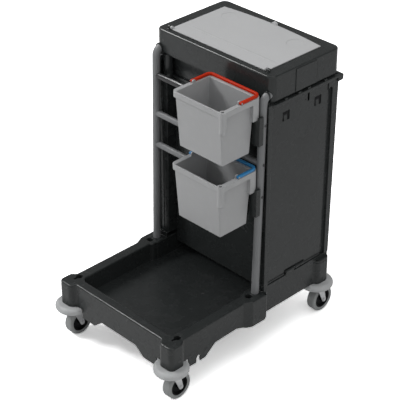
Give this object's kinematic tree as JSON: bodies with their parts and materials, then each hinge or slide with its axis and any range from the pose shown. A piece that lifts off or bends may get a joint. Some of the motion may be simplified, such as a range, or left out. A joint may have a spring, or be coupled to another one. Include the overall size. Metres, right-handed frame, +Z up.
{
  "type": "janitor cart",
  "caption": "Janitor cart with a low front tray, a lidded cabinet behind it, bent tube posts and two buckets hung on cross rails.",
  "frame": {"origin": "on the ground, below the middle of the cart's bounding box", "axes": "+X to the cart's right, +Y towards the push handle, +Z up"},
  "size_m": [0.628, 0.8514, 1.0618],
  "materials": {
    "charcoal_plastic": "fine moulded texture",
    "black_plastic": "satin",
    "lid_plastic": "satin",
    "bucket_plastic": "satin",
    "red_plastic": "semi gloss",
    "blue_plastic": "semi gloss",
    "grey_tube": "satin powder coat",
    "black_tube": "gloss coat",
    "zinc": "zinc plated",
    "grey_rubber": "matte",
    "tyre_rubber": "matte"
  },
  "bodies": {
    "chassis": {"base_tray": "charcoal_plastic", "bumper_front_left": "grey_rubber", "bumper_front_right": "grey_rubber", "bumper_rear_left": "grey_rubber", "bumper_rear_right": "grey_rubber", "castor_bushes": "black_plastic", "castor_housings": "zinc", "post_left": "grey_tube", "post_right": "grey_tube", "rail_upper": "black_tube", "rail_middle": "grey_tube", "rail_lower": "grey_tube", "rail_screws": "black_tube", "post_collars": "charcoal_plastic", "front_panel": "charcoal_plastic", "rear_panel": "charcoal_plastic", "side_frame_left": "charcoal_plastic", "side_frame_right": "charcoal_plastic", "hood_columns": "charcoal_plastic", "push_handle": "charcoal_plastic", "hood": "charcoal_plastic", "latch_plate_left": "charcoal_plastic", "latch_plate_right": "charcoal_plastic", "lid_hinge_pins": "zinc", "door_hinge_pins": "zinc", "bucket_hanger_upper": "charcoal_plastic", "bucket_hanger_lower": "charcoal_plastic", "tray_screws": "black_tube"},
    "lid": {"lid": "lid_plastic"},
    "door_left": {"door_left": "charcoal_plastic"},
    "door_right": {"door_right": "charcoal_plastic"},
    "bucket_upper": {"bucket_upper": "bucket_plastic"},
    "bucket_lower": {"bucket_lower": "bucket_plastic"},
    "handle_upper": {"handle_upper": "red_plastic"},
    "handle_lower": {"handle_lower": "blue_plastic"},
    "swivel_front_left": {"fork_front_left": "zinc", "axle_front_left": "zinc"},
    "wheel_front_left": {"hub_front_left": "black_plastic", "tyre_front_left": "tyre_rubber"},
    "swivel_front_right": {"fork_front_right": "zinc", "axle_front_right": "zinc"},
    "wheel_front_right": {"hub_front_right": "black_plastic", "tyre_front_right": "tyre_rubber"},
    "swivel_rear_left": {"fork_rear_left": "zinc", "axle_rear_left": "zinc"},
    "wheel_rear_left": {"hub_rear_left": "black_plastic", "tyre_rear_left": "tyre_rubber"},
    "swivel_rear_right": {"fork_rear_right": "zinc", "axle_rear_right": "zinc"},
    "wheel_rear_right": {"hub_rear_right": "black_plastic", "tyre_rear_right": "tyre_rubber"}
  },
  "joints": [
    {"name": "lid_hinge", "type": "hinge", "parent": "chassis", "child": "lid", "pos_m": [0, 0.0967, 1.0558], "axis": [1, 0, 0], "range_deg": [0, 100]},
    {"name": "door_right_hinge", "type": "hinge", "parent": "chassis", "child": "door_right", "pos_m": [0.266, 0.2147, 0.263], "axis": [0, 1, 0], "range_deg": [0, 90]},
    {"name": "door_left_hinge", "type": "hinge", "parent": "chassis", "child": "door_left", "pos_m": [-0.266, 0.2147, 0.263], "axis": [0, -1, 0], "range_deg": [0, 90]},
    {"name": "bucket_upper_lift", "type": "slide", "parent": "chassis", "child": "bucket_upper", "axis": [0, 0, 1], "range_m": [0, 0.04]},
    {"name": "bucket_lower_lift", "type": "slide", "parent": "chassis", "child": "bucket_lower", "axis": [0, 0, 1], "range_m": [0, 0.04]},
    {"name": "handle_upper_swing", "type": "hinge", "parent": "bucket_upper", "child": "handle_upper", "pos_m": [0.13883, -0.0485, 0.9973], "axis": [1, 0, 0], "range_deg": [0, 175]},
    {"name": "handle_lower_swing", "type": "hinge", "parent": "bucket_lower", "child": "handle_lower", "pos_m": [0.13772, -0.05402, 0.7313], "axis": [1, 0, 0], "range_deg": [0, 28]},
    {"name": "swivel_front_left", "type": "hinge", "parent": "chassis", "child": "swivel_front_left", "pos_m": [-0.2526, -0.3643, 0.105], "axis": [0, 0, 1], "continuous": true},
    {"name": "roll_front_left", "type": "hinge", "parent": "swivel_front_left", "child": "wheel_front_left", "pos_m": [-0.2526, -0.3423, 0.05], "axis": [1, 0, 0], "continuous": true},
    {"name": "swivel_front_right", "type": "hinge", "parent": "chassis", "child": "swivel_front_right", "pos_m": [0.2526, -0.3643, 0.105], "axis": [0, 0, 1], "continuous": true},
    {"name": "roll_front_right", "type": "hinge", "parent": "swivel_front_right", "child": "wheel_front_right", "pos_m": [0.2526, -0.3423, 0.05], "axis": [1, 0, 0], "continuous": true},
    {"name": "swivel_rear_left", "type": "hinge", "parent": "chassis", "child": "swivel_rear_left", "pos_m": [-0.2526, 0.3537, 0.105], "axis": [0, 0, 1], "continuous": true},
    {"name": "roll_rear_left", "type": "hinge", "parent": "swivel_rear_left", "child": "wheel_rear_left", "pos_m": [-0.2526, 0.3757, 0.05], "axis": [1, 0, 0], "continuous": true},
    {"name": "swivel_rear_right", "type": "hinge", "parent": "chassis", "child": "swivel_rear_right", "pos_m": [0.2526, 0.3537, 0.105], "axis": [0, 0, 1], "continuous": true},
    {"name": "roll_rear_right", "type": "hinge", "parent": "swivel_rear_right", "child": "wheel_rear_right", "pos_m": [0.2526, 0.3757, 0.05], "axis": [1, 0, 0], "continuous": true}
  ]
}
